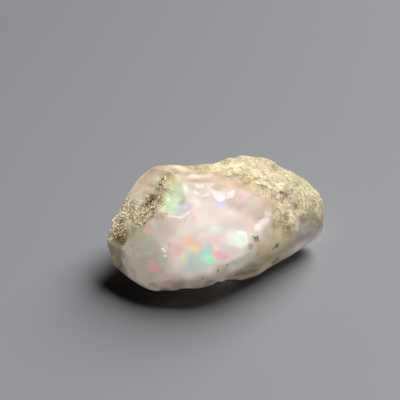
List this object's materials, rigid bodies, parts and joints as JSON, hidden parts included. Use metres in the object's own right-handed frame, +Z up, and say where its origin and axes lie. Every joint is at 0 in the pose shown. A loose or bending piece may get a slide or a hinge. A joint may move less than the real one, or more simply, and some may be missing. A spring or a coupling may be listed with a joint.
{
  "type": "rough opal specimen",
  "caption": "Rough milky opal, chipped open on one side to show its play of colour, with a thin sandy skin of host rock on its crown, resting on a flat underside.",
  "frame": {"origin": "centre of the bounding box in X and Y, on the surface the stone rests on", "axes": "+X along the stone's length towards its narrow end, -Y towards the opened face, +Z up"},
  "size_m": [0.035, 0.0188, 0.016],
  "materials": {
    "opal": "satin"
  },
  "bodies": {
    "root": {"opal": "opal"}
  },
  "joints": []
}
